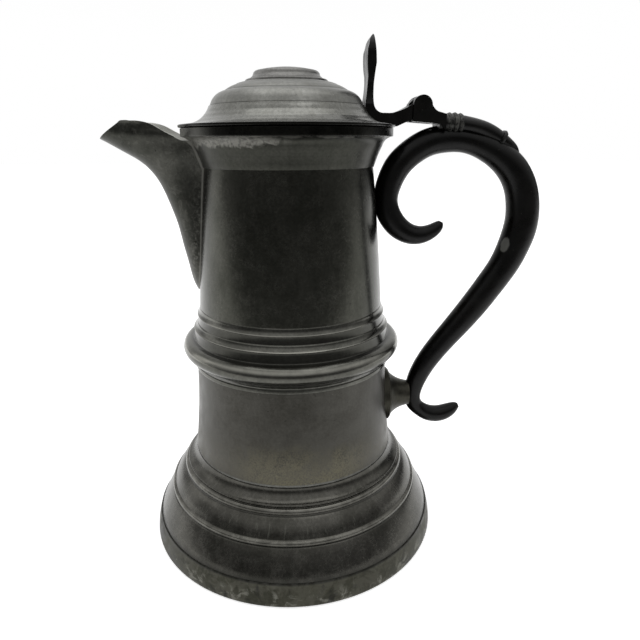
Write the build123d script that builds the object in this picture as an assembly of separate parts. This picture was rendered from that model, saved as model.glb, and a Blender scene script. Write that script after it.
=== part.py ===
from build123d import *
import math
import os

# Spout-and-lid flagon in pewter. Millimetres, Z up, origin on the turning axis where the foot rests.
# The spout points to -X, the handle to +X, and the lid's hinge pin lies along Y.

# Foot
foot_radius = 81.4
foot_rim_height = 12.1
foot_rim_draft = 2.0
foot_rim_wall = 4.0
foot_set_in = 0.6
foot_height = 49.8
foot_wall = 2.0

# Body
floor_thickness = 1.4
floor_dish = 2.5
drum_base_radius = 56.0
drum_taper = 3.6
lower_drum_height = 49.9
drum_wall = 1.6
belt_height = 32.0
belt_nest = 8.0
belt_projection = 6.7
belt_taper = 3.3
upper_drum_height = 71.0
neck_radius = 43.3
collar_height = 14.3
collar_wall = 1.8
rim_radius = 52.7
rim_height = 4.0
mouth_radius = 49.4

# Strainer behind the spout
strainer_hole = 4.6
strainer_pitch = 7.6
strainer_height = 149.7
strainer_rows = 5

# Spout
spout_bottom = 138.7
spout_throw = 48.9
spout_half_width = 14.0
spout_wall = 1.5
spout_rise = 7.6

# Lid
lid_gap = 0.3
flange_radius = 53.6
flange_thickness = 1.3
lid_wall = 1.6
flare_radius = 38.3
flare_height = 10.0
dome_height = 10.9
button_radius = 20.4
button_height = 6.9
bezel_clearance = 1.1
bezel_wall = 1.7
bezel_depth = 3.2

# Hinge
hinge_reach = 13.8
hinge_rise = 10.7
knuckle_radius = 4.7
hinge_width = 15.5
lid_knuckle_width = 5.2
hinge_side_gap = 0.3
pin_radius = 1.5
pin_clearance = 0.06
swing_clearance = 0.8
tail_length = 52.0
tail_drop = 23.4
tail_half_height = 5.1
tail_half_width = 7.5
rib_width = 2.0

# Thumbpiece
thumb_height = 42.6
thumb_thickness = 4.3
thumb_width = 17.0

# Handle
handle_reach = 79.4
handle_drop = 4.7
handle_half = 8.7
handle_flatness = 0.95
handle_bite = 0.8
boss_height = 74.3
boss_radius = 15.0
boss_flange = 1.9
boss_neck = 7.6

# Radii that follow the drum's foot
belt_bottom_radius = drum_base_radius - drum_taper
belt_top_radius = belt_bottom_radius - belt_taper

# Stations up the axis
drum_base = foot_height + floor_thickness
belt_bottom = foot_height + lower_drum_height
belt_seat = belt_bottom + belt_nest
belt_top = belt_bottom + belt_height
collar_base = belt_top + upper_drum_height
rim_base = collar_base + collar_height
rim_top = rim_base + rim_height
lid_base = rim_top + lid_gap
flare_top = lid_base + flare_height
button_base = flare_top + dome_height
lid_top = button_base + button_height


def outline(start, *steps):
    """Closed outline in the XZ plane. A step is (r, z) for a line or (r, z, bow) for an arc,
    where bow is how far the arc swells to the right of the direction of travel."""
    edges = []
    r0, z0 = start
    for step in list(steps) + [start]:
        r1, z1 = step[0], step[1]
        length = math.hypot(r1 - r0, z1 - z0)
        if length < 1e-6:
            continue
        if len(step) == 3 and abs(step[2]) > 1e-6:
            mid_r = (r0 + r1) / 2 + step[2] * (z1 - z0) / length
            mid_z = (z0 + z1) / 2 - step[2] * (r1 - r0) / length
            edges.append(ThreePointArc((r0, 0, z0), (mid_r, 0, mid_z), (r1, 0, z1)))
        else:
            edges.append(Line((r0, 0, z0), (r1, 0, z1)))
        r0, z0 = r1, z1
    return make_face(edges)


def turned(start, *steps):
    return revolve(outline(start, *steps), Axis.Z, 360)


def crown(radius, rise):
    """Swell of an arc that meets the axis squarely, so that it turns into a ball's cap."""
    ball = (radius ** 2 + rise ** 2) / (2 * rise)
    return ball - math.sqrt(ball ** 2 - (radius ** 2 + rise ** 2) / 4)


def across(face, width):
    """An XZ outline made into a solid of this width, centred on the plane of the handle."""
    return extrude(face, amount=width / 2, dir=(0, 1, 0), both=True)


# Foot rim: the cast ring that wears on the table
rim_inside = foot_radius - foot_rim_wall - foot_rim_draft
foot_shoulder = foot_radius - foot_rim_draft
foot_rim = turned(
    (rim_inside, 0.6),
    (rim_inside + 0.6, 0),
    (foot_radius - 0.8, 0),
    (foot_radius, 0.9, 0.2),
    (foot_radius - 0.1, 0.2 * foot_rim_height),
    (foot_shoulder, foot_rim_height - 0.5, 0.25),
    (foot_shoulder - 0.5, foot_rim_height, 0.15),
    (rim_inside, foot_rim_height),
)

# Foot: spun shell whose members step in from the rim to the drum.
# Each row is the share of the foot's spread, the share of its height, and the arc's swell.
foot_rows = [
    (0.671, 0.366, 0.25),
    (0.645, 0.374, 0),
    (0.654, 0.385, 0),
    (0.618, 0.456, 0.75),
    (0.596, 0.462, 0),
    (0.351, 0.679, 0.6),
    (0.316, 0.690, 0),
    (0.311, 0.716, 0),
    (0.250, 0.788, 0.75),
    (0.228, 0.790, 0),
    (0.232, 0.809, 0),
    (0.211, 0.833, 0.25),
    (0.000, 1.000, -1.2),
]
foot_start = foot_shoulder - foot_set_in
foot_spread = foot_start - drum_base_radius
foot_rise = foot_height - foot_rim_height


def foot_point(share_r, share_z):
    return drum_base_radius + share_r * foot_spread, foot_rim_height + share_z * foot_rise


foot_outer = [(*foot_point(a, b), bow) for a, b, bow in foot_rows]
foot_inner = [foot_point(a, b) for a, b in [(0.0, 1.0), (0.25, 0.80), (0.34, 0.66), (0.61, 0.44), (0.66, 0.36)]]
foot_lean_r = foot_wall * 0.88
foot_lean_z = foot_wall * 0.48
foot = turned(
    (foot_start, foot_rim_height),
    *foot_outer,
    (drum_base_radius - foot_wall * 1.5, foot_height),
    *[(r - foot_lean_r - 0.6, z - foot_lean_z) for r, z in foot_inner],
    (foot_start - foot_wall, foot_rim_height),
)

# Vessel floor: dished disc held between the foot and the drum
floor_rim = drum_base_radius - 0.25
floor_flat = 0.884 * drum_base_radius
floor_bow = crown(floor_flat, floor_dish)
vessel_floor = turned(
    (0, foot_height + floor_dish),
    (floor_flat, foot_height, -floor_bow),
    (floor_rim, foot_height),
    (floor_rim, drum_base),
    (floor_flat, drum_base),
    (0, drum_base + floor_dish, floor_bow),
)

# Lower drum: tapering sheet, its top end nested inside the belt
drum_side = [(belt_bottom_radius, belt_bottom, -0.75)]
lower_drum = turned(
    (drum_base_radius, drum_base),
    *drum_side,
    (belt_bottom_radius, belt_seat),
    (belt_bottom_radius - drum_wall, belt_seat),
    (belt_bottom_radius - drum_wall, belt_bottom),
    (drum_base_radius - drum_wall, drum_base, 0.75),
)

# Belt moulding: a large bead over a thin fillet, with two small beads stepping in above it.
# Each row is the share of the projection, the share of the height, and the arc's swell.
belt_rows = [
    (0.000, 0.0000, 0),
    (0.090, 0.0000, 0),
    (0.172, 0.0187, 0.15),
    (0.176, 0.0656, 0),
    (0.138, 0.0781, 0),
    (0.507, 0.1844, -0.20),
    (0.578, 0.1938, 0),
    (1.000, 0.3312, 0.88),
    (0.456, 0.4750, 1.30),
    (0.301, 0.4844, 0),
    (0.251, 0.6406, -0.10),
    (0.311, 0.6531, 0),
    (0.114, 0.7406, -0.35),
    (0.075, 0.7531, 0),
    (0.071, 0.8719, 0),
    (0.137, 0.8844, 0),
    (0.019, 0.9812, -0.30),
    (0.000, 1.0000, 0),
]


def belt_point(share_r, share_z):
    seat = belt_bottom_radius + (belt_top_radius - belt_bottom_radius) * share_z
    full = belt_bottom_radius + belt_projection
    return seat + share_r * (full - seat), belt_bottom + share_z * belt_height


belt_side = [(*belt_point(a, b), bow) for a, b, bow in belt_rows]
belt_moulding = turned(
    (belt_bottom_radius, belt_bottom),
    *belt_side,
    (belt_top_radius, belt_seat),
    (belt_bottom_radius, belt_seat),
)

# Upper drum: nests inside the belt, slightly full up to the neck
upper_side = [(belt_top_radius, belt_top), (neck_radius, collar_base, 0.35)]
upper_drum = turned(
    (belt_top_radius, belt_seat),
    *upper_side,
    (neck_radius - drum_wall, collar_base),
    (belt_top_radius - drum_wall, belt_top, -0.35),
    (belt_top_radius - drum_wall, belt_seat),
)


def drum_radius(z):
    """Outside radius of the body between its foot and its neck."""
    if z < belt_bottom:
        t = (z - drum_base) / (belt_bottom - drum_base)
        return drum_base_radius + (belt_bottom_radius - drum_base_radius) * t - 3.0 * t * (1 - t)
    t = min(1.0, max(0.0, (z - belt_top) / upper_drum_height))
    return belt_top_radius + (neck_radius - belt_top_radius) * t + 1.4 * t * (1 - t)


# Collar: cavetto that flares from the neck to the rim
collar_turn_r = neck_radius + 4.2
collar_turn_z = collar_base + collar_height * 0.70
collar_edge = rim_radius - 0.5
collar_side = [
    (neck_radius + 0.35, collar_base),
    (collar_turn_r, collar_turn_z, -0.3),
    (collar_edge, rim_base, -1.0),
]
collar = turned(
    (neck_radius - drum_wall, collar_base),
    *collar_side,
    (mouth_radius, rim_base),
    (collar_turn_r - collar_wall, collar_turn_z + 0.4, 0.7),
    (neck_radius - drum_wall, collar_base + 0.8, 0.3),
)

# Rim band: plain ring round the mouth
rim_round = 0.45
rim_side = [
    (rim_radius - rim_round, rim_base),
    (rim_radius, rim_base + rim_round, 0.13),
    (rim_radius, rim_top - rim_round),
    (rim_radius - rim_round, rim_top, 0.13),
]
rim_band = turned((mouth_radius, rim_base), *rim_side, (mouth_radius, rim_top))

# Everything inside the body's outer skin, used to seat what is soldered to it
body_skin = turned(
    (0, drum_base),
    (drum_base_radius, drum_base),
    *drum_side,
    *belt_side,
    *upper_side,
    *collar_side,
    *rim_side,
    (0, rim_top),
)

# Strainer: staggered holes through the drum behind the spout
for row in range(strainer_rows):
    shift = 0.5 * (row % 2)
    for column in range(-1, 2 - row % 2):
        y = (column + shift) * strainer_pitch
        z = strainer_height + row * strainer_pitch * 0.87
        hole = Pos(-drum_radius(z), y, z) * Rot(0, 90, 0) * Cylinder(strainer_hole / 2, 14)
        upper_drum -= hole

# Spout: open trough lofted from level nose-shaped sections.
# Each row is the share of the spout's height, of its throw and of its half width.
spout_rows = [
    (0.010, 0.030, 0.30),
    (0.040, 0.050, 0.60),
    (0.095, 0.082, 0.84),
    (0.193, 0.123, 0.97),
    (0.310, 0.178, 1.00),
    (0.455, 0.242, 1.01),
    (0.557, 0.306, 1.02),
    (0.660, 0.380, 1.03),
    (0.739, 0.452, 1.04),
    (0.802, 0.535, 1.07),
    (0.856, 0.630, 1.12),
    (0.893, 0.726, 1.16),
    (0.926, 0.820, 1.19),
    (0.969, 0.940, 1.23),
    (1.020, 1.085, 1.28),
    (1.110, 1.330, 1.36),
]
spout_height = rim_base - spout_bottom


def spout_section(row, inset, side_inset):
    share_z, share_x, share_w = row
    z = spout_bottom + share_z * spout_height
    keel = drum_radius(z) + share_x * spout_throw - inset
    middle = drum_radius(z) - 5 - 2 * share_x
    return Pos(-middle, 0, z) * Ellipse(keel - middle, share_w * spout_half_width - side_inset)


def spout_lean(index):
    """Level thickness of a wall that leans outwards, for one millimetre square to it."""
    low = spout_rows[max(0, index - 1)]
    high = spout_rows[min(len(spout_rows) - 1, index + 1)]
    out = (high[1] - low[1]) * spout_throw
    return math.hypot(1, out / ((high[0] - low[0]) * spout_height))


spout_outer = loft([spout_section(row, 0, 0) for row in spout_rows])
spout_inner = loft([
    spout_section(row, spout_wall * spout_lean(i), spout_wall)
    for i, row in enumerate(spout_rows) if i > 0
])
lip_x = -(neck_radius + spout_throw)
brow_z = rim_base + spout_rise
spout_cutter = across(outline(
    (neck_radius, rim_base - 1.6),
    (-rim_radius + 3, rim_base - 1.6),
    (-rim_radius - 0.8, rim_base + 0.3, -0.3),
    (-rim_radius - 9.5, rim_base + 5.0, -0.1),
    (-rim_radius - 21, brow_z - 0.2, 0.8),
    (lip_x + 15.0, brow_z, 0.15),
    (lip_x + 12.5, brow_z - 0.9, 0.3),
    (lip_x - 1.0, rim_base - 1.4),
    (lip_x - spout_throw, rim_base - 8.0),
    (lip_x - spout_throw, brow_z + spout_throw),
    (neck_radius, brow_z + spout_throw),
), 6 * spout_half_width)
spout = spout_outer - spout_inner - body_skin - spout_cutter

# Lid flange: flat brim that turns up through a hollow flare
flange_top = lid_base + flange_thickness
brim_inner = flange_radius - 5.1
flare_bow = 1.8
flange_side = [
    (flange_radius, lid_base + 0.3),
    (flange_radius, flange_top - 0.3),
    (flange_radius - 0.3, flange_top),
    (brim_inner, flange_top + 0.5),
    (flare_radius, flare_top, -flare_bow),
]
lid_flange = turned(
    (brim_inner - 2.1, lid_base),
    (flange_radius - 0.3, lid_base),
    *flange_side,
    (flare_radius - lid_wall, flare_top),
    (brim_inner - 2.1, lid_base, flare_bow),
)

# Lid dome: seats on the flare and closes under the button
dome_line_r = flare_radius - 9.3
dome_line_z = flare_top + dome_height * 0.64
dome_side = [
    (flare_radius - 0.3, flare_top),
    (flare_radius - 0.5, flare_top + 0.6),
    (dome_line_r, dome_line_z, 0.85),
    (dome_line_r - 0.5, dome_line_z + 0.4),
    (button_radius + 0.3, button_base, 0.25),
]
lid_dome = turned(
    (flare_radius - lid_wall, flare_top),
    *dome_side,
    (0, button_base),
    (0, button_base - lid_wall),
    (button_radius, button_base - lid_wall),
    (dome_line_r - 1.0, dome_line_z - lid_wall, -0.25),
    (flare_radius - 0.5 - lid_wall, flare_top + 0.4, -0.85),
)

# Lid button: stepped disc with a low crown
button_side = [
    (button_radius, button_base),
    (button_radius - 0.2, button_base + 0.12 * button_height),
    (button_radius - 1.1, button_base + 0.18 * button_height, 0.1),
    (button_radius - 2.6, button_base + 0.24 * button_height),
    (button_radius - 2.9, button_base + 0.31 * button_height),
    (button_radius - 4.1, button_base + 0.52 * button_height, -0.2),
    (button_radius - 5.3, button_base + 0.74 * button_height, 0.25),
    (0, lid_top, crown(button_radius - 5.3, 0.26 * button_height)),
]
lid_button = turned((0, button_base), *button_side)

# Lid bezel: ring that drops into the mouth
bezel_radius = mouth_radius - bezel_clearance
lid_bezel = turned(
    (bezel_radius - bezel_wall, lid_base - bezel_depth),
    (bezel_radius - 0.4, lid_base - bezel_depth),
    (bezel_radius, lid_base - bezel_depth + 0.6),
    (bezel_radius, lid_base),
    (bezel_radius - bezel_wall, lid_base),
)

lid_skin = turned(
    (0, lid_base - bezel_depth),
    (flange_radius - 0.3, lid_base - bezel_depth),
    (flange_radius - 0.3, lid_base),
    *flange_side,
    *dome_side,
    *button_side,
)

# Hinge axis, set off the back of the rim
hinge_x = rim_radius + hinge_reach
hinge_z = rim_top + hinge_rise

# Handle: one casting, a double scroll lofted from oval sections.
# Each row is the share of the reach, of the height from boss to crown, and of the greatest half thickness.
handle_rows = [
    (0.452, 0.701, 0.138),
    (0.420, 0.679, 0.379),
    (0.343, 0.656, 0.506),
    (0.274, 0.652, 0.586),
    (0.179, 0.673, 0.667),
    (0.114, 0.715, 0.713),
    (0.084, 0.767, 0.724),
    (0.090, 0.809, 0.736),
    (0.121, 0.857, 0.770),
    (0.170, 0.903, 0.793),
    (0.256, 0.948, 0.793),
    (0.370, 0.984, 0.793),
    (0.486, 0.997, 0.782),
    (0.613, 0.993, 0.724),
    (0.724, 0.974, 0.747),
    (0.829, 0.943, 0.828),
    (0.921, 0.898, 0.908),
    (0.982, 0.839, 0.954),
    (1.009, 0.763, 0.989),
    (0.998, 0.679, 1.000),
    (0.951, 0.602, 0.966),
    (0.895, 0.538, 0.920),
    (0.810, 0.468, 0.885),
    (0.664, 0.361, 0.851),
    (0.505, 0.257, 0.770),
    (0.352, 0.153, 0.701),
    (0.268, 0.076, 0.644),
    (0.222, -0.004, 0.540),
    (0.229, -0.049, 0.517),
    (0.265, -0.074, 0.494),
    (0.325, -0.095, 0.540),
    (0.397, -0.102, 0.557),
    (0.467, -0.093, 0.517),
    (0.522, -0.077, 0.391),
    (0.564, -0.066, 0.138),
]
handle_crown = rim_top - handle_drop
contact_share = 0.79
boss_seat = drum_radius(boss_height)
contact_seat = drum_radius(boss_height + contact_share * (handle_crown - boss_height))


def handle_point(share_x, share_z):
    seat = boss_seat + (contact_seat - boss_seat) * share_z / contact_share
    return seat - handle_bite + share_x * handle_reach, 0, boss_height + share_z * (handle_crown - boss_height)


handle_nodes = [handle_point(row[0], row[1]) for row in handle_rows]
handle_path = Spline(*handle_nodes)


def handle_section(point, half, share):
    plane = Plane(origin=point, x_dir=(0, 1, 0), z_dir=handle_path.tangent_at(share))
    return plane * Ellipse(half * handle_flatness, half)


handle_shares = [handle_path.param_at_point(Vector(*p)) for p in handle_nodes]
handle_full = loft([
    handle_section(p, row[2] * handle_half, t) for p, row, t in zip(handle_nodes, handle_rows, handle_shares)
])
handle = handle_full - body_skin

# Handle boss: bell-shaped peg between the lower drum and the handle
boss_x = boss_seat
boss_length = 0.92 * boss_radius
boss_face = revolve(outline(
    (boss_x - 0.4 * boss_radius, boss_height),
    (boss_x - 0.4 * boss_radius, boss_height + boss_radius),
    (boss_x + boss_flange - 0.7, boss_height + boss_radius),
    (boss_x + boss_flange, boss_height + boss_radius - 0.8, 0.15),
    (boss_x + boss_flange, boss_height + boss_radius - 1.7),
    (boss_x + 0.80 * boss_length, boss_height + boss_neck, 0.9),
    (boss_x + boss_length, boss_height + boss_neck - 0.5, 0.1),
    (boss_x + boss_length, boss_height),
), Axis((0, 0, boss_height), (1, 0, 0)), 360)
handle_boss = boss_face - body_skin - handle_full

# Hinge bracket: two fixed knuckles, a ribbed shank and a tail along the handle's shoulder
hinge_foot = 1.62 * knuckle_radius
block_end = hinge_x + 2.55 * knuckle_radius
block = across(outline(
    (hinge_x - knuckle_radius, hinge_z - hinge_foot),
    (hinge_x - knuckle_radius, hinge_z),
    (hinge_x + knuckle_radius, hinge_z, -knuckle_radius),
    (hinge_x + 1.62 * knuckle_radius, hinge_z - 0.62 * knuckle_radius, 0.3),
    (block_end, hinge_z - 0.87 * knuckle_radius),
    (block_end, hinge_z - 2.55 * knuckle_radius),
    (hinge_x + 1.83 * knuckle_radius, hinge_z - hinge_foot - 1.0),
), hinge_width)

# The shank's rows are its share along the tail, of the tail's drop, and of its half height and half width.
shank_rows = [
    (0.170, 0.346, 1.000, 1.000),
    (0.250, 0.355, 0.902, 0.960),
    (0.420, 0.380, 0.882, 0.893),
    (0.600, 0.466, 0.863, 0.800),
    (0.740, 0.585, 0.804, 0.667),
    (0.800, 0.654, 0.725, 0.653),
    (0.890, 0.795, 0.667, 0.560),
    (0.990, 1.000, 0.431, 0.347),
]
shank_nodes = [(hinge_x + row[0] * tail_length, 0, hinge_z - row[1] * tail_drop) for row in shank_rows]
shank_path = Spline(*shank_nodes)


def shank_section(point, share, half_height, half_width):
    plane = Plane(origin=point, x_dir=(0, 1, 0), z_dir=shank_path.tangent_at(share))
    return plane * Ellipse(half_width, half_height)


shank = loft([
    shank_section(p, shank_path.param_at_point(Vector(*p)), row[2] * tail_half_height, row[3] * tail_half_width)
    for p, row in zip(shank_nodes, shank_rows)
])
bracket = block + shank
# Each rib is its share along the shank, and of the tail's half width and half height.
for share, rib_half_width, rib_half_height in [(0.110, 1.033, 1.049), (0.168, 1.053, 1.078), (0.226, 1.033, 1.049), (0.735, 0.780, 0.960)]:
    start = shank_path.position_at(share)
    plane = Plane(origin=start, x_dir=(0, 1, 0), z_dir=shank_path.tangent_at(share))
    wide, high = rib_half_width * tail_half_width, rib_half_height * tail_half_height
    rib_low = plane * Ellipse(wide - 0.5, high - 0.5)
    rib_mid = plane * (Pos(0, 0, rib_width / 2) * Ellipse(wide, high))
    rib_high = plane * (Pos(0, 0, rib_width) * Ellipse(wide - 0.5, high - 0.5))
    bracket += loft([rib_low, rib_mid, rib_high], ruled=True)
slot_half = lid_knuckle_width / 2 + hinge_side_gap
slot_reach = 1.9 * knuckle_radius
slot = across(outline(
    (hinge_x - knuckle_radius - 1, hinge_z - slot_reach),
    (hinge_x + knuckle_radius + swing_clearance, hinge_z - slot_reach),
    (hinge_x + knuckle_radius + swing_clearance, hinge_z + slot_reach),
    (hinge_x - knuckle_radius - 1, hinge_z + slot_reach),
), 2 * slot_half)
pin_axis = Plane(origin=(hinge_x, 0, hinge_z), x_dir=(1, 0, 0), z_dir=(0, 1, 0))
pin_bore = pin_axis * Cylinder(pin_radius, hinge_width * 1.25)
hinge_bracket = bracket - slot - pin_bore - handle_full - body_skin

# Hinge pin: flush with the outer knuckles, tight in them and free in the lid's knuckle
hinge_pin = pin_axis * Cylinder(pin_radius, hinge_width)

# Thumbpiece: strap across the brim, middle knuckle and upright plate in one casting
thumb_x = flare_radius - 0.1
thumb_face = thumb_x + thumb_thickness
thumb_top = lid_base + thumb_height
arm_end = hinge_x - knuckle_radius - 0.5
arm_top = lid_base + 6.8
thumb_side = across(outline(
    (thumb_x, lid_base + 1),
    (thumb_x, flare_top + 2.5),
    (thumb_x + 0.9, flare_top + 0.43 * (thumb_top - flare_top), 0.25),
    (thumb_x + 0.4, thumb_top - 7.5, -0.3),
    (thumb_x + 1.4, thumb_top - 3.4, 0.1),
    (thumb_face - 0.6, thumb_top, -0.3),
    (thumb_face - 0.2, thumb_top - 5.0),
    (thumb_face + 0.5, thumb_top - 13.5, -0.1),
    (thumb_face - 0.5, flare_top + 6.0, 0.25),
    (thumb_face - 0.3, flare_top + 1.2, 0.1),
    (thumb_face + 5.2, arm_top, 1.5),
    (thumb_face + 9.0, arm_top, 0.1),
    (arm_end, hinge_z + 0.4, 0.5),
    (arm_end, hinge_z - hinge_foot + 0.5),
    (rim_radius + 0.507 * hinge_reach, lid_base + 0.28 * hinge_rise, -0.1),
    (flange_radius + 0.3, lid_base + 0.5),
), 2 * thumb_width)
arm_half = hinge_width / 2 - 0.2
thumb_waist = flare_top + 0.30 * (thumb_top - flare_top)
thumb_wide = flare_top + 0.68 * (thumb_top - flare_top)
with BuildPart() as thumb_front_part:
    with BuildSketch(Plane.YZ.offset(thumb_x - 5)):
        with BuildLine():
            Line((-arm_half, lid_base - 1), (arm_half, lid_base - 1))
            Line((arm_half, lid_base - 1), (arm_half, flare_top + 1))
            ThreePointArc(
                (arm_half, flare_top + 1), (arm_half - 1.1, thumb_waist - 2), (arm_half - 1.0, thumb_waist + 1))
            ThreePointArc(
                (arm_half - 1.0, thumb_waist + 1), (thumb_width / 2 - 0.4, thumb_wide - 5), (thumb_width / 2, thumb_wide))
            ThreePointArc((thumb_width / 2, thumb_wide), (0, thumb_top + 0.1), (-thumb_width / 2, thumb_wide))
            ThreePointArc(
                (-thumb_width / 2, thumb_wide), (-thumb_width / 2 + 0.4, thumb_wide - 5), (-arm_half + 1.0, thumb_waist + 1))
            ThreePointArc(
                (-arm_half + 1.0, thumb_waist + 1), (-arm_half + 1.1, thumb_waist - 2), (-arm_half, flare_top + 1))
            Line((-arm_half, flare_top + 1), (-arm_half, lid_base - 1))
        make_face()
    extrude(amount=hinge_x)
thumb_front = thumb_front_part.part
knuckle = pin_axis * Cylinder(knuckle_radius - 0.1, lid_knuckle_width)
knuckle_web = across(outline(
    (arm_end - 1, hinge_z - hinge_foot + 0.7),
    (arm_end - 1, hinge_z + 0.6),
    (hinge_x - 1.5, hinge_z + knuckle_radius - 0.6, -0.4),
    (hinge_x, hinge_z),
    (hinge_x - 1.0, hinge_z - knuckle_radius + 0.4),
), lid_knuckle_width)
thumb_bore = pin_axis * Cylinder(pin_radius + pin_clearance, 2 * lid_knuckle_width)
thumbpiece = (thumb_side & thumb_front) + knuckle + knuckle_web - lid_skin - thumb_bore

nodes = {
    "foot_rim": foot_rim,
    "foot": foot,
    "vessel_floor": vessel_floor,
    "lower_drum": lower_drum,
    "belt_moulding": belt_moulding,
    "upper_drum": upper_drum,
    "collar": collar,
    "rim_band": rim_band,
    "spout": spout,
    "handle": handle,
    "handle_boss": handle_boss,
    "hinge_bracket": hinge_bracket,
    "hinge_pin": hinge_pin,
    "lid_flange": lid_flange,
    "lid_dome": lid_dome,
    "lid_button": lid_button,
    "lid_bezel": lid_bezel,
    "thumbpiece": thumbpiece,
}

os.makedirs("parts", exist_ok=True)
for name, shape in nodes.items():
    export_step(shape, f"parts/{name}.step")
    print(name, len(shape.solids()), round(shape.volume / 1000, 2), "cm3", shape.is_valid)
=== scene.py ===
import math
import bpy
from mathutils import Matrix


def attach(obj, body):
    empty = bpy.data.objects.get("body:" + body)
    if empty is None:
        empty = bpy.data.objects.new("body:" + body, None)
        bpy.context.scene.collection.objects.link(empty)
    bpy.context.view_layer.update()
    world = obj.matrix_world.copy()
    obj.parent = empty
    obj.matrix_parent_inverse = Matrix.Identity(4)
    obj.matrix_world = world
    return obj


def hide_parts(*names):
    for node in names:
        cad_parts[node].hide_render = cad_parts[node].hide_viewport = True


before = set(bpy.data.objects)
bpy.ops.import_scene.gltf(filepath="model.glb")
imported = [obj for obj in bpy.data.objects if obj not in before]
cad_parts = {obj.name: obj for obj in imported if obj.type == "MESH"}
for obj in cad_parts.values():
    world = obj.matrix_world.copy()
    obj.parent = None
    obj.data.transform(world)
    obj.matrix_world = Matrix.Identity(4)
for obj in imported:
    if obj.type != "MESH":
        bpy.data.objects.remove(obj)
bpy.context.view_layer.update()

from types import SimpleNamespace

import bmesh
import bpy
from mathutils import Matrix, Vector

# Foot rim: the heavy ring that the flagon stands on, cast in pewter and turned true.
# It is bare metal of a brassy brown, scuffed on the table for years, with dark pits and
# pale scratches.
MM = 0.001
TURNED_STEPS = 288
CRUST_BROWN = (0.063, 0.061, 0.042)
SCUFF_PALE = (0.200, 0.198, 0.165)
PIT_BLACK = (0.0074, 0.0074, 0.0059)


def arc(here, there, bow):
    """The points between the two ends of an arc that stands off its chord by bow."""
    chord = there - here
    half = chord.length / 2
    ball = (half ** 2 + bow ** 2) / (2 * abs(bow))
    side = Vector((chord.y, -chord.x)).normalized() * math.copysign(1, bow)
    centre = (here + there) / 2 + side * (abs(bow) - ball)
    spoke = here - centre
    sweep = spoke.angle_signed(there - centre)
    count = max(4, int(abs(sweep) * 10))
    points = []
    for i in range(1, count):
        turn = -sweep * i / count
        cos, sin = math.cos(turn), math.sin(turn)
        points.append(centre + Vector((spoke.x * cos - spoke.y * sin, spoke.x * sin + spoke.y * cos)))
    return points


def traced(start, *steps):
    """The points of a half profile, in millimetres.
    (r, z) is a straight line, (r, z, bow) an arc that swells right of the way it goes."""
    points = [Vector(start)]
    for step in steps:
        there = Vector(step[:2])
        if len(step) == 3:
            points += arc(points[-1], there, step[2])
        points.append(there)
    return points


def eased(points, size=0.22):
    """The same profile with its corners rounded a little, as turning and polishing leave them.
    Points on the axis, a start that the last arc comes back to, gentle bends (in radians) and
    corners of tiny sides stay as they are."""
    on_axis, gentle_bend, share_of_side, tiny = 0.01, 0.35, 0.45, 0.02
    result = []
    for i, point in enumerate(points):
        before, after = points[i - 1] - point, points[(i + 1) % len(points)] - point
        reach = min(size, before.length * share_of_side, after.length * share_of_side)
        if point.x < on_axis or reach < tiny or math.pi - before.angle(after) < gentle_bend:
            result.append(point)
            continue
        first, last = point + before.normalized() * reach, point + after.normalized() * reach
        result += [first, first * 0.25 + point * 0.5 + last * 0.25, last]
    return result


def placed(name, data):
    """A new object in the scene, at the origin."""
    item = bpy.data.objects.new(name, data)
    bpy.context.scene.collection.objects.link(item)
    return item


def turned(name, points):
    """A closed profile spun round the flagon's axis, with no edge along the axis itself."""
    bm = bmesh.new()
    ring = [bm.verts.new((p.x * MM, 0, p.y * MM)) for p in points]
    edges = [bm.edges.new((a, b)) for a, b in zip(ring, ring[1:] + ring[:1])
             if max(a.co.x, b.co.x) >= 1e-6]
    bmesh.ops.spin(bm, geom=ring + edges, cent=(0, 0, 0), axis=(0, 0, 1), angle=2 * math.pi,
                   steps=TURNED_STEPS, use_merge=True, use_normal_flip=False, use_duplicate=False)
    bmesh.ops.remove_doubles(bm, verts=bm.verts, dist=1e-6)
    bmesh.ops.recalc_face_normals(bm, faces=bm.faces)
    mesh = bpy.data.meshes.new(name)
    bm.to_mesh(mesh)
    bm.free()
    mesh.polygons.foreach_set("use_smooth", [True] * len(mesh.polygons))
    mesh.set_sharp_from_angle(angle=math.radians(40))
    return placed(name, mesh)


def add(tree, kind, **settings):
    """A new node with its settings."""
    node = tree.nodes.new(kind)
    for key, value in settings.items():
        setattr(node, key, value)
    return node


def feed(tree, socket, value):
    """Gives a socket a number, a colour or what another node works out."""
    if isinstance(value, (int, float)):
        socket.default_value = value
    elif isinstance(value, tuple):
        socket.default_value = (*value, 1.0)
    else:
        tree.links.new(value, socket)


def calc(tree, operation, *values, clamp=False):
    """What one sum makes of the values."""
    node = add(tree, "ShaderNodeMath", operation=operation, use_clamp=clamp)
    for socket, value in zip(node.inputs, values):
        feed(tree, socket, value)
    return node.outputs[0]


def in_turn(tree, operation, values):
    """The values taken one after the other through the same operation."""
    result = values[0]
    for value in values[1:]:
        result = calc(tree, operation, result, value)
    return result


def plus(tree, *values):
    return in_turn(tree, "ADD", values)


def times(tree, *values):
    return in_turn(tree, "MULTIPLY", values)


def most(tree, *values):
    return in_turn(tree, "MAXIMUM", values)


def split(tree, vector):
    """The three parts of a place or a direction."""
    node = add(tree, "ShaderNodeSeparateXYZ")
    feed(tree, node.inputs[0], vector)
    return node.outputs


def joined(tree, *parts):
    """A place made of three parts."""
    node = add(tree, "ShaderNodeCombineXYZ")
    for socket, part in zip(node.inputs, parts):
        feed(tree, socket, part)
    return node.outputs[0]


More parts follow.
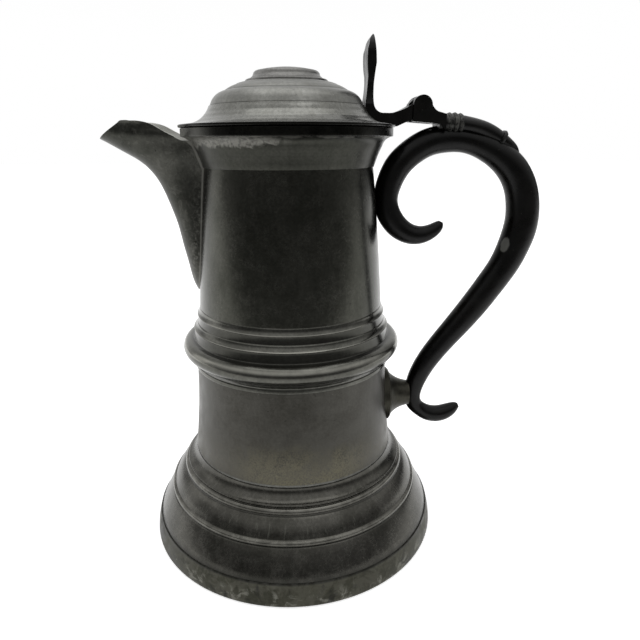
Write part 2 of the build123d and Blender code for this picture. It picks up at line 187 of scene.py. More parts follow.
def spread(tree, value, low, high, to_low=0.0, to_high=1.0):
    """A value stretched between two limits and held there."""
    node = add(tree, "ShaderNodeMapRange", clamp=True, interpolation_type="SMOOTHSTEP")
    feed(tree, node.inputs["Value"], value)
    for key, number in (("From Min", low), ("From Max", high), ("To Min", to_low), ("To Max", to_high)):
        feed(tree, node.inputs[key], number)
    return node.outputs["Result"]


def fall(tree, length, low, high, least=0.0):
    """One below the low limit and the least above the high one, with both in millimetres."""
    return spread(tree, length, low * MM, high * MM, 1.0, least)


def grain(tree, vector, size_mm, detail, rough, warp=0.0):
    """Noise whose patches are about size_mm across."""
    node = add(tree, "ShaderNodeTexNoise")
    feed(tree, node.inputs["Vector"], vector)
    for key, number in (("Scale", 1 / (size_mm * MM)), ("Detail", detail), ("Roughness", rough),
                        ("Distortion", warp)):
        feed(tree, node.inputs[key], number)
    return node.outputs["Fac"]


def blend(tree, amount, first, second, mode="MIX"):
    """Two colours mixed or multiplied by an amount."""
    node = add(tree, "ShaderNodeMix", data_type="RGBA", blend_type=mode, clamp_factor=True)
    feed(tree, node.inputs["Factor"], amount)
    feed(tree, node.inputs[6], first)
    feed(tree, node.inputs[7], second)
    return node.outputs[2]


def blank(name):
    """A new material, with its node tree and its shader."""
    material = bpy.data.materials.new(name)
    material.use_nodes = True
    return material, material.node_tree, material.node_tree.nodes["Principled BSDF"]


def bumped(tree, shader, height, strength, depth_mm):
    """Raises and sinks the surface by what a height says."""
    bump = add(tree, "ShaderNodeBump")
    bump.inputs["Strength"].default_value = strength
    bump.inputs["Distance"].default_value = depth_mm * MM
    feed(tree, bump.inputs["Height"], height)
    feed(tree, shader.inputs["Normal"], bump.outputs["Normal"])


def pewter(name, dark, light, rough=(0.24, 0.36), lines=0.25, bumps=0.08, spots=0.35, waves=0.0,
           marks=()):
    """Old pewter: clouded grey metal with lathe lines, pits, flecks, and marks of its own.
    A mark is (mask, colour, dullness), and its mask is worked out from the field f."""
    material, tree, shader = blank(name)
    coords = add(tree, "ShaderNodeTexCoord").outputs
    place = coords["Object"]
    x, y, z = split(tree, place)
    radius = calc(tree, "SQRT", plus(tree, times(tree, x, x), times(tree, y, y)))
    off_axis = most(tree, radius, 1 * MM)
    around = joined(tree, calc(tree, "DIVIDE", x, off_axis), calc(tree, "DIVIDE", y, off_axis),
                    times(tree, z, 3.0))
    cloud = grain(tree, place, 34, detail=5, rough=0.6, warp=0.6)
    mottle = grain(tree, place, 7, detail=6, rough=0.62, warp=0.4)
    speck = grain(tree, place, 1.3, detail=3, rough=0.7)
    ring = grain(tree, joined(tree, radius, 0.0, z), 1.1, detail=3, rough=0.75)
    f = SimpleNamespace(place=place, x=x, y=y, z=z, radius=radius, around=around, cloud=cloud,
                        mottle=mottle, normal=coords["Normal"])

    tone = plus(tree, times(tree, spread(tree, cloud, 0.36, 0.64), 0.6),
                times(tree, spread(tree, mottle, 0.3, 0.7), 0.4))
    colour = blend(tree, tone, dark, light)
    pits = times(tree, spread(tree, grain(tree, place, 2.4, detail=2, rough=0.5), 0.70, 0.75), spots)
    colour = blend(tree, pits, colour, tuple(v * 0.3 for v in dark))
    flecks = times(tree, spread(tree, grain(tree, place, 1.0, detail=2, rough=0.5), 0.745, 0.775), spots)
    colour = blend(tree, flecks, colour, tuple(min(1.0, v * 3.0) for v in light))
    lathe_lines = blend(tree, spread(tree, ring, 0.3, 0.7), (0.45, 0.45, 0.45), (1.0, 1.0, 1.0))
    colour = blend(tree, lines * 0.5, colour, lathe_lines, "MULTIPLY")
    fine = spread(tree, speck, 0.34, 0.66, 0.84, 1.10)
    streaks = spread(tree, grain(tree, around, 45, detail=4, rough=0.65), 0.34, 0.66, 0.95, 1.04)
    colour = blend(tree, 1.0, colour, times(tree, fine, streaks), "MULTIPLY")

    gloss = plus(tree, times(tree, mottle, 0.6), times(tree, speck, 0.4))
    polish = spread(tree, gloss, 0.3, 0.7, *rough)
    height = plus(tree, times(tree, ring, lines * 0.35),
                  plus(tree, times(tree, mottle, 0.5), times(tree, pits, -0.6)))
    if waves:
        swell = calc(tree, "SINE", plus(tree, times(tree, z, 2600.0), times(tree, cloud, 3.0)))
        height = plus(tree, height, times(tree, swell, waves))
    metal = 0.98
    if marks:
        dull = 0.0
        for mask, mark_colour, dullness in marks:
            amount = mask(tree, f)
            colour = blend(tree, amount, colour, mark_colour)
            dull = most(tree, calc(tree, "MULTIPLY", amount, dullness, clamp=True), dull)
        polish = plus(tree, polish, times(tree, dull, 0.22))
        height = plus(tree, height, times(tree, dull, 0.15))
        metal = times(tree, calc(tree, "SUBTRACT", 1.0, dull), metal)
    for key, value in (("Base Color", colour), ("Roughness", polish), ("Metallic", metal)):
        feed(tree, shader.inputs[key], value)
    bumped(tree, shader, height, bumps, depth_mm=0.6)
    return material


def dressed(piece, material, body, node):
    """Gives a finished piece its material and its body, and hides the CAD solid that it stands for."""
    piece.data.materials.append(material)
    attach(piece, body)
    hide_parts(node)


def foot_crust(tree, f):
    return times(tree, spread(tree, f.mottle, 0.44, 0.60), 0.75)


def foot_scuffs(tree, f):
    patches = spread(tree, grain(tree, f.place, 9, detail=6, rough=0.7, warp=0.8), 0.52, 0.63)
    return times(tree, patches, fall(tree, f.z, 4, 10, least=0.15), 0.8)


def foot_pits(tree, f):
    patches = spread(tree, grain(tree, f.place, 16, detail=6, rough=0.65, warp=0.6), 0.52, 0.62)
    seam = spread(tree, f.z, 10.8 * MM, 11.8 * MM)
    return times(tree, most(tree, patches, seam), 0.75)


foot_metal = pewter(
    "rubbed_foot_pewter", dark=(0.033, 0.033, 0.025), light=(0.063, 0.062, 0.047), rough=(0.34, 0.5),
    lines=0.3, bumps=0.3,
    marks=[(foot_crust, CRUST_BROWN, 0.8), (foot_scuffs, SCUFF_PALE, 0.9), (foot_pits, PIT_BLACK, 0.2)])
foot_rim = turned("foot_rim_ring", eased(traced(
    (75.4, 0.6), (76.0, 0), (80.6, 0), (81.4, 0.9, 0.2), (81.3, 2.42), (79.4, 11.6, 0.25), (78.9, 12.1, 0.15),
    (75.4, 12.1))))
dressed(foot_rim, foot_metal, "vessel", "foot_rim")

# Foot: a spun pewter shell that steps in from the rim to the drum, hollow underneath.
# Its beads carry a painted highlight over some rubbing. It is painted almost black as shade in its grooves,
# and darker towards its lower edge, with fine lathe lines and small run marks on the shelf.
FOOT_BEADS = ((28.0, 29.2), (40.4, 41.7))
FOOT_GROOVES = ((26.1, 26.5), (38.1, 39.0))
FOOT_SHELF = ((30.0, 37.0),)
RUN_GREY = (0.148, 0.148, 0.126)
FOOT_BEAD_HIGHLIGHT = (0.190, 0.186, 0.165)
FOOT_LOWER_EDGE_DARK_AND_GROOVE_SHADE = (0.010, 0.010, 0.0074)


def bands(tree, length, ranges, soft):
    """One inside any of the ranges and nothing outside them, in millimetres, with soft edges."""
    return most(tree, *(times(tree, spread(tree, length, (low - soft) * MM, (low + soft) * MM),
                              fall(tree, length, high - soft, high + soft)) for low, high in ranges))


def foot_runs(tree, f):
    runs = spread(tree, grain(tree, f.around, 22, detail=3, rough=0.6), 0.62, 0.70)
    return times(tree, runs, bands(tree, f.z, FOOT_SHELF, soft=0.8), 0.35)


# Painted highlight on the foot's beads, over some real rubbing.
def foot_bead_rub_and_highlight(tree, f):
    return times(tree, bands(tree, f.z, FOOT_BEADS, soft=0.4), spread(tree, f.mottle, 0.38, 0.60, 0.35, 0.85))


# Painted shade, almost black, in the foot's grooves; the foot is also darker towards its lower edge.
def foot_lower_edge_dark_and_groove_shade(tree, f):
    ragged = plus(tree, f.z, times(tree, f.mottle, -6 * MM))
    low = fall(tree, ragged, 8.5, 12.5)
    return times(tree, most(tree, low, bands(tree, f.z, FOOT_GROOVES, soft=0.3)), 0.7)


foot_dark = pewter(
    "foot_pewter", dark=(0.049, 0.048, 0.041), light=(0.104, 0.101, 0.090), rough=(0.19, 0.31),
    lines=0.3, bumps=0.10,
    marks=[(foot_runs, RUN_GREY, 0.6), (foot_bead_rub_and_highlight, FOOT_BEAD_HIGHLIGHT, 0.0), (foot_lower_edge_dark_and_groove_shade, FOOT_LOWER_EDGE_DARK_AND_GROOVE_SHADE, 0.3)])
foot = turned("foot_shell", eased(traced(
    (78.8, 12.1), (71.3, 25.9, 0.25), (70.7, 26.2), (70.9, 26.6), (70.1, 29.3, 0.75), (69.6, 29.5),
    (64.0, 37.7, 0.6), (63.2, 38.1), (63.1, 39.1), (61.7, 41.8, 0.75), (61.2, 41.9), (61.3, 42.6),
    (60.8, 43.5, 0.25), (56.0, 49.8, -1.2), (53.0, 49.8), (53.64, 48.84), (59.34, 41.30), (61.39, 36.02),
    (67.55, 27.73), (68.69, 24.71), (76.8, 12.1)), size=0.16))
dressed(foot, foot_dark, "vessel", "foot")

# Vessel floor: the dished disc that closes the drum above the foot, soldered in all round.
# It is seen only from underneath and from inside, and left as cast: dull and pale.
inner_metal = pewter(
    "inner_pewter", dark=(0.10, 0.10, 0.09), light=(0.19, 0.19, 0.175), rough=(0.42, 0.55), lines=0.3)
vessel_floor = turned("vessel_floor_disc", eased(traced(
    (0, 52.3), (49.5, 49.8, -0.62), (55.75, 49.8), (55.75, 51.2), (49.5, 51.2), (0, 53.7, 0.62))))
dressed(vessel_floor, inner_metal, "vessel", "vessel_floor")

# Lower drum: a tapering wall soldered on the floor, its top edge hidden in the belt.
# It is duller and warmer than the upper drum, with brown-gold oxide towards the foot, most
# of all in the middle of its front and back.
FILM_BROWN = (0.073, 0.070, 0.058)
OXIDE_GOLD = (0.172, 0.157, 0.100)


def drum_film(tree, f):
    film = spread(tree, plus(tree, f.mottle, times(tree, f.cloud, 0.8)), 0.70, 1.10)
    return times(tree, plus(tree, film, 0.35), fall(tree, f.z, 56, 88, least=0.25), 0.7)


def drum_gold(tree, f):
    fine = grain(tree, f.place, 0.8, detail=3, rough=0.7)
    grit = plus(tree, times(tree, fine, 0.7), times(tree, f.mottle, 0.3))
    low = fall(tree, plus(tree, f.z, times(tree, f.cloud, 30 * MM)), 67, 88)
    off_middle = calc(tree, "ABSOLUTE", calc(tree, "SUBTRACT", f.x, 4 * MM))
    return times(tree, spread(tree, grit, 0.36, 0.58), low, fall(tree, off_middle, 8, 40, least=0.15))


drum_dull = pewter(
    "lower_drum_pewter", dark=(0.046, 0.044, 0.038), light=(0.080, 0.078, 0.070), rough=(0.31, 0.43),
    lines=0.2, spots=0.5, marks=[(drum_film, FILM_BROWN, 0.6), (drum_gold, OXIDE_GOLD, 0.9)])
lower_drum = turned("lower_drum_shell", eased(traced(
    (56.0, 51.2), (52.4, 99.7, -0.75), (52.4, 107.7), (50.8, 107.7), (50.8, 99.7), (54.4, 51.2, 0.75))))
dressed(lower_drum, drum_dull, "vessel", "lower_drum")

# Belt moulding: the hoop over the joint of the two drums, cast, turned and soldered on.
# It is one big bead below two small ones. The beads carry a painted highlight over some rubbing, the flat
# faces are painted dark as shade and the reflection of the dark room in front, and the grooves are painted
# black as shade.
BELT_GROOVES = ((101.9, 102.3), (114.9, 115.3), (120.1, 120.5))
BELT_FACE_LOW = ((115.5, 120.1),)
BELT_FACE_HIGH = ((123.8, 127.5),)
BIG_BEAD = ((111.5, 113.6),)
SMALL_BEADS = ((120.2, 120.9), (127.7, 128.4))
FACE_SHADE_DARK = (0.030, 0.030, 0.026)
BELT_BEAD_HIGHLIGHT = (0.235, 0.232, 0.206)
BELT_GROOVE_SHADE = (0.008, 0.008, 0.006)


# Painted shade on the belt's flat faces: dark as the reflection of the dark room in front.
def belt_face_shade(tree, f):
    faces = most(tree, bands(tree, f.z, BELT_FACE_HIGH, soft=0.3), bands(tree, f.z, BELT_FACE_LOW, soft=0.4))
    return times(tree, faces, 0.65)


# Painted highlight on the belt's beads, over some real rubbing.
def belt_bead_rub_and_highlight(tree, f):
    bright = most(tree, bands(tree, f.z, BIG_BEAD, soft=0.6), bands(tree, f.z, SMALL_BEADS, soft=0.2))
    return times(tree, bright, spread(tree, f.mottle, 0.36, 0.60, 0.70, 0.95))


# Painted shade, black, in the belt's grooves.
def belt_groove_shade(tree, f):
    return times(tree, bands(tree, f.z, BELT_GROOVES, soft=0.2), 0.75)


belt_metal = pewter(
    "belt_pewter", dark=(0.078, 0.078, 0.068), light=(0.128, 0.127, 0.113), rough=(0.15, 0.25),
    lines=0.3, bumps=0.05,
    marks=[(belt_face_shade, FACE_SHADE_DARK, 0.0), (belt_bead_rub_and_highlight, BELT_BEAD_HIGHLIGHT, 0.0), (belt_groove_shade, BELT_GROOVE_SHADE, 0.2)])
belt = turned("belt_hoop", eased(traced(
    (52.4, 99.7), (53.0, 99.7), (53.5, 100.3, 0.15), (53.4, 101.8), (53.1, 102.2), (55.5, 105.6, -0.2),
    (56.0, 105.9), (59.1, 110.3, 0.88), (54.6, 114.9, 1.3), (53.3, 115.2), (52.5, 120.2, -0.1), (53.0, 120.6),
    (51.0, 123.4, -0.35), (50.6, 123.8), (50.2, 127.6), (50.8, 128.0), (49.35, 131.1, -0.3), (49.1, 131.7),
    (49.1, 107.7), (52.4, 107.7)), size=0.2))
dressed(belt, belt_metal, "vessel", "belt_moulding")

# Upper drum: the smoother, darker half of the body, pierced behind the spout as a strainer.
# It stays the CAD solid, because the strainer's holes are in it.


def coated(node, material):
    """Gives a CAD solid that stays its finish."""
    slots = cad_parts[node].data.materials
    slots.clear()
    slots.append(material)


drum_dark = pewter(
    "upper_drum_pewter", dark=(0.044, 0.045, 0.037), light=(0.078, 0.078, 0.067), rough=(0.20, 0.29),
    lines=0.12, bumps=0.05)
coated("upper_drum", drum_dark)

# Collar: the flared neck under the rim, turned and soldered on the upper drum.
# It is dark, and scuffed pale at the front left, just under the rim band.
COLLAR_SCUFF = (0.255, 0.250, 0.222)


def collar_scuffs(tree, f):
    patches = grain(tree, f.place, 11, detail=6, rough=0.65, warp=1.2)
    higher = spread(tree, f.z, 207.5 * MM, 216.8 * MM, -0.34, 0.12)
    torn = spread(tree, plus(tree, patches, higher), 0.42, 0.52)
    front_left = times(tree, bands(tree, f.x, ((-48, -4),), soft=7), fall(tree, f.y, -12, -4))
    broken = spread(tree, grain(tree, f.place, 1.6, detail=4, rough=0.65), 0.36, 0.56, 0.25, 1.0)
    top_edge = spread(tree, f.z, 214.8 * MM, 216.8 * MM, -0.3, 0.14)
    chipped = spread(tree, plus(tree, f.mottle, top_edge), 0.52, 0.62)
    return times(tree, most(tree, times(tree, torn, front_left, broken), times(tree, chipped, 0.5)), 0.8)


collar_metal = pewter(
    "collar_pewter", dark=(0.034, 0.035, 0.029), light=(0.053, 0.053, 0.046), rough=(0.26, 0.38),
    lines=0.3, marks=[(collar_scuffs, COLLAR_SCUFF, 0.8)])
collar = turned("collar_flare", eased(traced(
    (41.7, 202.7), (43.65, 202.7), (47.5, 212.71, -0.3), (52.2, 217.0, -1.0), (49.4, 217.0),
    (45.7, 213.1, 0.7), (41.7, 203.5, 0.3))))
dressed(collar, collar_metal, "vessel", "collar")

# Rim band: the plain ring round the mouth that the lid comes down on, soldered on the collar.
# Its face is painted nearly black, as the shade under the brim above it, and painted grey on the
# spout's side, as the reflection of the room's lighter left side.
RIM_REFLECTION_GREY = (0.085, 0.084, 0.074)


# Painted reflection: the rim band is lighter grey on the spout's side, where it reflects the room's lighter
# left.
def rim_painted_reflection(tree, f):
    ragged = plus(tree, times(tree, f.mottle, 10 * MM), f.x)
    return times(tree, fall(tree, ragged, -42, -24), 0.9)


# The rim band's near-black colours are painted shade from the brim above it.
rim_shade_metal = pewter(
    "rim_pewter", dark=(0.007, 0.007, 0.006), light=(0.022, 0.022, 0.019), rough=(0.22, 0.34),
    lines=0.2, marks=[(rim_painted_reflection, RIM_REFLECTION_GREY, 0.2)])
rim = turned("rim_ring", eased(traced(
    (49.4, 217.0), (52.25, 217.0), (52.7, 217.45, 0.13), (52.7, 220.55), (52.25, 221.0, 0.13),
    (49.4, 221.0))))
dressed(rim, rim_shade_metal, "vessel", "rim_band")

# Spout: an open trough with a keeled front, soldered up the drum from the belt to the rim.
# It is a mottled grey outside, with a thin pale line and rubbed specks along its seam, and
# painted much lighter and duller in the channel, as the light falling in it over cleaner metal.
WALL_CONES = ((49.1, 131.7, -0.0817), (43.65, 202.7, 0.385), (47.5, 212.7, 1.09))
SPOUT_STAIN = (0.120, 0.118, 0.102)
SEAM_PALE = (0.216, 0.212, 0.188)
CHANNEL_LIGHT_PALE = (0.66, 0.66, 0.62)


def spout_stain(tree, f):
    patches = grain(tree, f.place, 5, detail=6, rough=0.7, warp=0.5)
    return times(tree, spread(tree, patches, 0.50, 0.64), 0.4)


def spout_seam(tree, f):
    """The seam follows the wall's cones: each has a radius at a height, in millimetres, and a slope."""
    cones = [calc(tree, "MULTIPLY_ADD", calc(tree, "SUBTRACT", f.z, height * MM), slope, radius * MM)
             for radius, height, slope in WALL_CONES]
    away = calc(tree, "SUBTRACT", f.radius, most(tree, *cones))
    near = times(tree, fall(tree, away, 0.8, 7.5), fall(tree, f.z, 150, 205, least=0.25))
    grit = spread(tree, grain(tree, f.place, 2.6, detail=6, rough=0.8), 0.50, 0.60)
    line = fall(tree, away, 0.5, 1.2)
    return most(tree, times(tree, near, grit, 0.6), times(tree, line, 0.8))


# Painted light: the channel's inner faces are pale, over cleaner metal.
def spout_channel_light(tree, f):
    """The faces that look at the trough's middle or back at the drum, where light is painted in."""
    normal_x, normal_y, _ = split(tree, f.normal)
    flank = calc(tree, "MINIMUM", times(tree, f.y, 150.0), 1.0)
    outward = calc(tree, "SUBTRACT", times(tree, normal_y, most(tree, flank, -1.0)), normal_x)
    return spread(tree, outward, -0.50, -0.20, 1.0, 0.0)


spout_metal = pewter(
    "spout_pewter", dark=(0.031, 0.032, 0.027), light=(0.073, 0.073, 0.064), rough=(0.32, 0.46),
    lines=0.0, bumps=0.2, spots=0.6,
    marks=[(spout_stain, SPOUT_STAIN, 0.6), (spout_seam, SEAM_PALE, 0.8), (spout_channel_light, CHANNEL_LIGHT_PALE, 0.9)])
coated("spout", spout_metal)

# Handle: one casting in a double scroll, finished in black japan, a varnish stoved on the metal.
# The japan has gone a little brown, and one chip in the handle's near side shows the pewter.
JAPAN_BLACK = (0.0008, 0.0008, 0.0006)
JAPAN_BROWN = (0.0030, 0.0026, 0.0021)
WORN_GREY = (0.085, 0.085, 0.078)
CHIP_GREY = (0.13, 0.13, 0.12)
CHIP_PLACE = (0.1130, -0.0075, 0.1633)
CHIP_SHAPE = (1.25, 1.0, 0.8)


def japan(name, chips, worn_x=None, chip_at=None, bare_metal=WORN_GREY):
    """Black stoved varnish over pewter: glossy, a little brown, with chips down to the grey metal.
    worn_x is a range that is rubbed bare, in millimetres, and chip_at the place of one large chip."""
    material, tree, shader = blank(name)
    place = add(tree, "ShaderNodeTexCoord").outputs["Object"]
    cloud = grain(tree, place, 22, detail=4, rough=0.6, warp=0.5)
    speck = grain(tree, place, 1.6, detail=3, rough=0.6)
    bare = times(tree, spread(tree, speck, 0.70, 0.74), chips)
    if worn_x:
        low, high = worn_x
        soft = 1.6
        x = split(tree, place)[0]
        inside = times(tree, spread(tree, x, low * MM, (low + soft) * MM), fall(tree, x, high, high + soft))
        patchy = spread(tree, grain(tree, place, 2.2, detail=5, rough=0.7), 0.40, 0.60)
        bare = most(tree, bare, times(tree, inside, patchy))
    if chip_at:
        squash = add(tree, "ShaderNodeVectorMath", operation="MULTIPLY")
        feed(tree, squash.inputs[0], place)
        squash.inputs[1].default_value = CHIP_SHAPE
        away = add(tree, "ShaderNodeVectorMath", operation="DISTANCE")
        feed(tree, away.inputs[0], squash.outputs[0])
        away.inputs[1].default_value = [along * stretch for along, stretch in zip(chip_at, CHIP_SHAPE)]
        ragged = times(tree, calc(tree, "SUBTRACT", speck, 0.5), 1.2 * MM)
        bare = most(tree, bare, fall(tree, plus(tree, away.outputs["Value"], ragged), 4.8, 5.6))
    colour = blend(tree, spread(tree, cloud, 0.35, 0.7), JAPAN_BLACK, JAPAN_BROWN)
    dullness = spread(tree, grain(tree, place, 9, detail=5, rough=0.6), 0.3, 0.7, 0.22, 0.40)
    feed(tree, shader.inputs["Base Color"], blend(tree, bare, colour, bare_metal))
    feed(tree, shader.inputs["Roughness"], plus(tree, dullness, times(tree, bare, 0.2)))
    feed(tree, shader.inputs["Metallic"], times(tree, bare, 0.35))
    shader.inputs["Specular IOR Level"].default_value = 0.20
    height = plus(tree, grain(tree, place, 5, detail=4, rough=0.6), times(tree, bare, -0.5))
    bumped(tree, shader, height, strength=0.25, depth_mm=0.4)
    return material


coated("handle", japan("handle_japan", chips=0.25, chip_at=CHIP_PLACE, bare_metal=CHIP_GREY))

# Handle boss: the bell-shaped peg that carries the handle's foot, turned from a casting.
# It is bare pewter, brown and rather rough, soldered to the lower drum and to the handle.
boss_metal = pewter(
    "boss_pewter", dark=(0.027, 0.026, 0.020), light=(0.052, 0.050, 0.041), rough=(0.32, 0.46),
    lines=0.0, bumps=0.15)
coated("handle_boss", boss_metal)

# Hinge bracket: two fixed knuckles, a ribbed shank and a tail down the handle, in one casting.
# It is japanned with the handle, and the ribs of its shank are rubbed back to grey metal.
SHANK_RIBS = (79.0, 86.8)
coated("hinge_bracket", japan("bracket_japan", chips=0.6, worn_x=SHANK_RIBS))

# Hinge pin: a plain wire through the three knuckles, its ends cut flush with the outer two.
# It is black with the rest of the hinge, and shows only at those two ends.
coated("hinge_pin", japan("pin_japan", chips=0.4))

# Lid flange: the thin brim that overhangs the rim and turns up through a hollow flare.
# The lid is cleaner than the body: a light satin grey with the faint rings of its turning.
# Only the brim's edge is painted black, as shade, like the rim band under it.
BRIM_STAIN = (0.16, 0.158, 0.138)
BRIM_EDGE_SHADE = (0.005, 0.005, 0.004)


def lid_stain(tree, f):
    patches = grain(tree, f.place, 11, detail=6, rough=0.65, warp=0.6)
    return times(tree, spread(tree, patches, 0.52, 0.68), 0.45)


# Painted shade: the brim's edge is black.
def brim_edge_shade(tree, f):
    return times(tree, fall(tree, f.z, 222.45, 222.75), 0.97)


flange_metal = pewter(
    "brim_pewter", dark=(0.165, 0.165, 0.151), light=(0.262, 0.262, 0.244), rough=(0.22, 0.32),
    lines=0.45, bumps=0.1, waves=1.3,
    marks=[(lid_stain, BRIM_STAIN, 0.3), (brim_edge_shade, BRIM_EDGE_SHADE, 0.0)])
lid_flange = turned("lid_brim", eased(traced(
    (46.4, 221.3), (53.3, 221.3), (53.6, 221.6), (53.6, 222.3), (53.3, 222.6), (48.5, 223.1),
    (38.3, 231.3, -1.8), (36.7, 231.3), (46.4, 221.3, 1.8)), size=0.12))
dressed(lid_flange, flange_metal, "lid", "lid_flange")

# Lid dome: the spun cap that is soldered on the flare, with one turned line round its shoulder.
# Dirt has settled in its seam, round the foot of the button and, less, in that line.
DOME_SEAMS = ((231.1, 231.6), (241.9, 242.3))
SHOULDER_LINE = ((238.0, 238.5),)
DOME_STAIN = (0.18, 0.178, 0.155)
SEAM_DIRT = (0.035, 0.034, 0.030)


def dome_seams(tree, f):
    shoulder = times(tree, bands(tree, f.z, SHOULDER_LINE, soft=0.2), 0.6)
    return times(tree, most(tree, bands(tree, f.z, DOME_SEAMS, soft=0.2), shoulder), 0.8)


dome_metal = pewter(
    "lid_pewter", dark=(0.170, 0.170, 0.156), light=(0.262, 0.262, 0.245), rough=(0.30, 0.42),
    lines=0.45, bumps=0.1,
    marks=[(lid_stain, DOME_STAIN, 0.3), (dome_seams, SEAM_DIRT, 0.1)])
lid_dome = turned("lid_cap", eased(traced(
    (36.7, 231.3), (38.0, 231.3), (37.6, 231.9), (30.6, 238.1, 1.3), (30.0, 238.6), (25.2, 240.9, 0.2),
    (24.6, 241.3), (20.7, 242.2, 0.1), (0, 242.2), (0, 240.6), (20.4, 240.6), (28.8, 236.68, -0.25),
    (36.2, 231.7, -1.0))))
dressed(lid_dome, dome_metal, "lid", "lid_dome")

# Lid button: the stepped disc on the crown of the dome, turned solid and soldered on.
# It is the lightest metal of the flagon, plain and satin, with fine lathe lines.
button_metal = pewter(
    "button_pewter", dark=(0.19, 0.187, 0.178), light=(0.28, 0.277, 0.267), rough=(0.32, 0.44),
    lines=0.4, bumps=0.1)
lid_button = turned("lid_button_disc", eased(traced(
    (0, 242.2), (20.4, 242.2), (20.2, 243.03), (19.3, 243.44, 0.1), (17.8, 243.86), (17.5, 244.34),
    (16.3, 245.79, -0.2), (15.1, 247.31, 0.25), (0, 249.1, 0.42))))
dressed(lid_button, button_metal, "lid", "lid_button")

# Lid bezel: the plain ring under the brim that keeps the lid central in the mouth.
# It is soldered on from below and left as cast, like the vessel's floor.
lid_bezel = turned("lid_bezel_ring", eased(traced(
    (46.6, 218.1), (47.9, 218.1), (48.3, 218.7), (48.3, 221.3), (46.6, 221.3))))
dressed(lid_bezel, inner_metal, "lid", "lid_bezel")

# Thumbpiece: strap, middle knuckle and upright thumb plate in one casting, on top of the lid.
# It is japanned black like the handle, with a few chips.
coated("thumbpiece", japan("thumb_japan", chips=0.35))

# Floor: a plain white sweep under the flagon, which keeps its soft shadow.
# It darkens towards the front, where the room is grey. Its glow is the same for camera,
# glossy and transmission rays, so the metal shows the floor that the picture shows.
FLOOR_SIZE = 6.0
FLOOR_WHITE = 0.82
FLOOR_GLOW = 0.60
FRONT_SHARE = 0.125
floor_mesh = bpy.data.meshes.new("floor")
bm = bmesh.new()
bmesh.ops.create_grid(bm, x_segments=1, y_segments=1, size=FLOOR_SIZE)
bmesh.ops.translate(bm, verts=bm.verts, vec=(0, 0, -0.2 * MM))
bm.to_mesh(floor_mesh)
bm.free()
floor = placed("floor", floor_mesh)
floor_white, tree, shader = blank("floor_white")
shader.inputs["Roughness"].default_value = 0.9
rays = add(tree, "ShaderNodeLightPath").outputs
shown = most(tree, *(rays[kind] for kind in ("Is Camera Ray", "Is Glossy Ray", "Is Transmission Ray")))
depth = split(tree, add(tree, "ShaderNodeTexCoord").outputs["Object"])[1]
lit = spread(tree, depth, -520 * MM, -130 * MM, FRONT_SHARE, 1.0)
pale = times(tree, lit, FLOOR_WHITE)
tone = add(tree, "ShaderNodeCombineColor")
for socket in tone.inputs:
    feed(tree, socket, pale)
feed(tree, shader.inputs["Base Color"], tone.outputs[0])
glow = add(tree, "ShaderNodeEmission")
feed(tree, glow.inputs["Color"], (1, 1, 1))
feed(tree, glow.inputs["Strength"], times(tree, shown, lit, FLOOR_GLOW))
both = add(tree, "ShaderNodeAddShader")
feed(tree, both.inputs[0], shader.outputs[0])
feed(tree, both.inputs[1], glow.outputs[0])
feed(tree, tree.nodes["Material Output"].inputs["Surface"], both.outputs[0])
floor_mesh.materials.append(floor_white)

# Light: a plain room, the same for every kind of ray, with two soft boxes in it.
# Its walls are white behind the flagon, grey at its sides and darker in front. Their values
# go round the horizon from behind the flagon by its left, its front and its right.
WALLS = ((0.0, 1.0), (0.092, 1.0), (0.15, 0.46), (0.215, 0.44), (0.27, 0.28), (0.33, 0.16), (0.42, 0.14),
         (0.58, 0.14), (0.67, 0.19), (0.735, 0.34), (0.772, 0.42), (0.805, 0.15), (0.87, 0.13), (0.908, 1.0),
         (1.0, 1.0))
CEILING = 0.85
WALL_TOP, CEILING_EDGE = 0.14, 0.66
world = bpy.data.worlds.new("studio")
bpy.context.scene.world = world
world.use_nodes = True
tree = world.node_tree
across, depth, up = split(tree, add(tree, "ShaderNodeTexCoord").outputs["Generated"])
turn = calc(tree, "ARCTAN2", across, times(tree, depth, -1.0))
turn = plus(tree, calc(tree, "DIVIDE", turn, 2 * math.pi), 0.5)
walls = add(tree, "ShaderNodeValToRGB")
walls.color_ramp.interpolation = "EASE"
stops = walls.color_ramp.elements
while len(stops) < len(WALLS):
    stops.new(0.5)
for stop, (position, value) in zip(stops, WALLS):
    stop.position = position
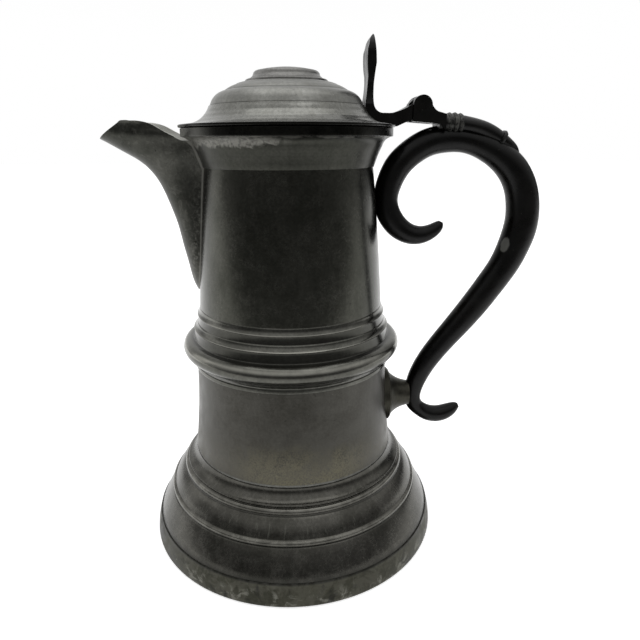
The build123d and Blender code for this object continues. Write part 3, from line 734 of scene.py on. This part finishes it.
for stop, (position, value) in zip(stops, WALLS):
    stop.color = (value, value, value, 1.0)
feed(tree, walls.inputs["Fac"], turn)
above = spread(tree, up, WALL_TOP, CEILING_EDGE)
room = plus(tree, times(tree, walls.outputs["Color"], calc(tree, "SUBTRACT", 1.0, above)),
            times(tree, above, CEILING))
sky = tree.nodes["Background"]
feed(tree, sky.inputs["Color"], (1, 1, 1))
feed(tree, sky.inputs["Strength"], room)


def softbox(name, place, aim, width, height, watts):
    """A rectangular lamp that looks from its place at its aim."""
    lamp = bpy.data.lights.new(name, "AREA")
    lamp.shape = "RECTANGLE"
    lamp.size, lamp.size_y = width, height
    lamp.energy = watts
    holder = placed(name, lamp)
    holder.location = place
    holder.rotation_euler = (Vector(aim) - Vector(place)).to_track_quat("-Z", "Y").to_euler()


softbox("top_light", place=(0.02, 0.05, 1.30), aim=(0, 0, 0.12), width=1.2, height=0.9, watts=3.0)
softbox("left_light", place=(-1.15, 0.35, 0.40), aim=(0, 0, 0.14), width=0.5, height=0.9, watts=0.8)

# Camera: a plain lens at the photograph's height and distance, with no shift.
# Its tilt, swing, roll and focal length are fitted to the ellipses of the foot, belt and rim.
EYE = (0, -0.29241, 0.21398)
TILT, SWING, ROLL = 0.31096, 0.05451, 0.00352
FOCAL_PIXELS, IMAGE_PIXELS, SENSOR = 550.0, 640.0, 36.0
ahead = Vector((math.sin(SWING) * math.cos(TILT), math.cos(SWING) * math.cos(TILT), -math.sin(TILT)))
level = Vector((math.cos(SWING), -math.sin(SWING), 0))
upright = level.cross(ahead)
right = level * math.cos(ROLL) - upright * math.sin(ROLL)
top = upright * math.cos(ROLL) + level * math.sin(ROLL)
lens = bpy.data.cameras.new("camera")
lens.sensor_width = SENSOR
lens.lens = FOCAL_PIXELS / IMAGE_PIXELS * SENSOR
lens.clip_start = 0.01
camera = placed("camera", lens)
camera.matrix_world = Matrix.Translation(EYE) @ Matrix((right, top, -ahead)).transposed().to_4x4()
bpy.context.scene.camera = camera
bpy.context.scene.view_settings.view_transform = "Standard"
